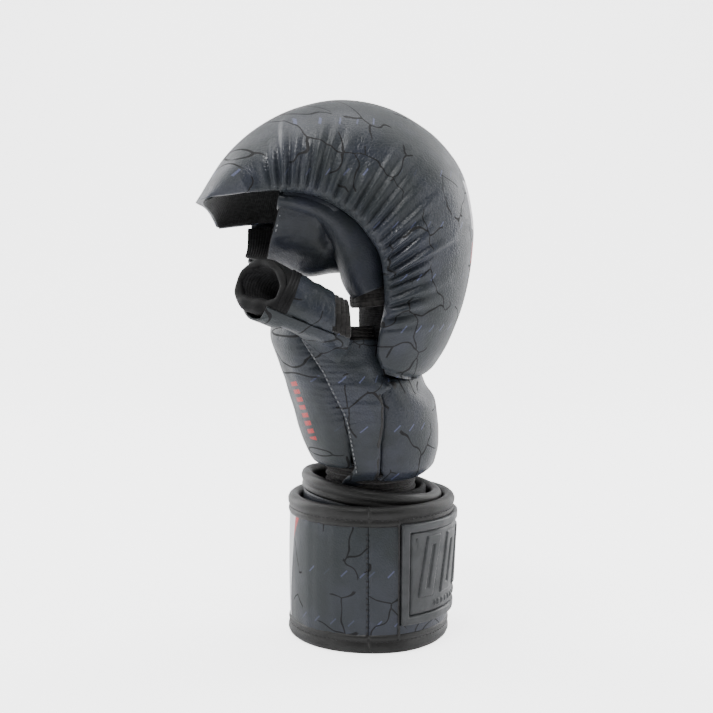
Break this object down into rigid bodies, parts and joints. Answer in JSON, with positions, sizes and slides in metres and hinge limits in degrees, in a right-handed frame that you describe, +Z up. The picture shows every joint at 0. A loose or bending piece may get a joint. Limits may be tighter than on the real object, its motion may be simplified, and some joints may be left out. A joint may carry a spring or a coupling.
{
  "type": "mma glove",
  "caption": "Padded right-hand sparring glove for mixed martial arts, dark printed leather, standing on its wrist strap.",
  "frame": {"origin": "centre of the glove's bounding box, on the floor that it stands on", "axes": "+Z up from the cuff to the knuckles, +X towards the back of the hand, -Y towards the thumb side"},
  "size_m": [0.1356, 0.1274, 0.265],
  "materials": {
    "printed_leather": "semi-gloss grained leather with a dark outline print",
    "plain_leather": "smooth satin leather",
    "black_binding": "satin soft binding",
    "lining_textile": "matte knitted textile",
    "foam_core": "matte foam",
    "gathered_elastic": "matte ribbed elastic",
    "moulded_patch": "satin moulded rubber",
    "seam_thread": "waxed thread",
    "hook_and_loop": "matte hook-and-loop tape"
  },
  "bodies": {
    "cuff": {"wrist_sleeve": "lining_textile", "strap_inner_turn": "printed_leather", "inner_turn_top_piping": "black_binding", "inner_turn_bottom_piping": "black_binding", "strap_outer_turn": "printed_leather", "outer_turn_top_piping": "black_binding", "outer_turn_bottom_binding": "black_binding", "loop_fastener": "hook_and_loop"},
    "hand": {"hand_lining": "lining_textile", "dorsal_pad_cover": "printed_leather", "dorsal_pad_foam": "foam_core", "palm_pad_cover": "printed_leather", "palm_pad_foam": "foam_core", "thumb_side_panel": "printed_leather", "little_side_panel": "printed_leather", "thumb_side_seam_piping": "black_binding", "little_side_seam_piping": "black_binding", "thumb_side_seam_thread": "seam_thread", "little_side_seam_thread": "seam_thread", "palm_opening_elastic": "gathered_elastic", "knuckle_fold_roll": "black_binding"},
    "mitt": {"mitt_cover": "printed_leather", "mitt_foam": "foam_core", "mitt_lining": "lining_textile", "finger_cover": "plain_leather", "finger_cover_lining": "lining_textile", "finger_cover_stitch_row_1": "seam_thread", "finger_cover_stitch_row_2": "seam_thread", "index_finger_sleeve": "plain_leather", "middle_finger_sleeve": "plain_leather", "ring_finger_sleeve": "plain_leather", "little_finger_sleeve": "plain_leather", "index_hem_elastic": "gathered_elastic", "middle_hem_elastic": "gathered_elastic", "ring_hem_elastic": "gathered_elastic", "little_hem_elastic": "gathered_elastic"},
    "thumb": {"thumb_upper_panel": "printed_leather", "thumb_lower_panel": "printed_leather", "thumb_foam": "foam_core", "thumb_lining": "lining_textile", "thumb_tip_binding": "black_binding", "thumb_hem_elastic": "gathered_elastic"},
    "strap_end": {"strap_end_panel": "printed_leather", "strap_end_top_piping": "black_binding", "strap_end_bottom_binding": "black_binding", "hook_fastener": "hook_and_loop", "rubber_patch": "moulded_patch"}
  },
  "joints": [
    {"name": "wrist_flex", "type": "hinge", "parent": "cuff", "child": "hand", "pos_m": [0.0182, 0.00871, 0.08], "axis": [0, -1, 0], "range_deg": [-7, 7]},
    {"name": "knuckle_flex", "type": "hinge", "parent": "hand", "child": "mitt", "pos_m": [0.0282, 0.00871, 0.13], "axis": [0, -1, 0], "range_deg": [-6, 8]},
    {"name": "thumb_spread", "type": "hinge", "parent": "hand", "child": "thumb", "pos_m": [0.0092, -0.03629, 0.158], "axis": [0.4229, 0, 0.9062], "range_deg": [0, 25]},
    {"name": "strap_peel", "type": "hinge", "parent": "cuff", "child": "strap_end", "pos_m": [0.01615, -0.03614, 0], "axis": [0, 0, -1], "range_deg": [0, 80]}
  ]
}
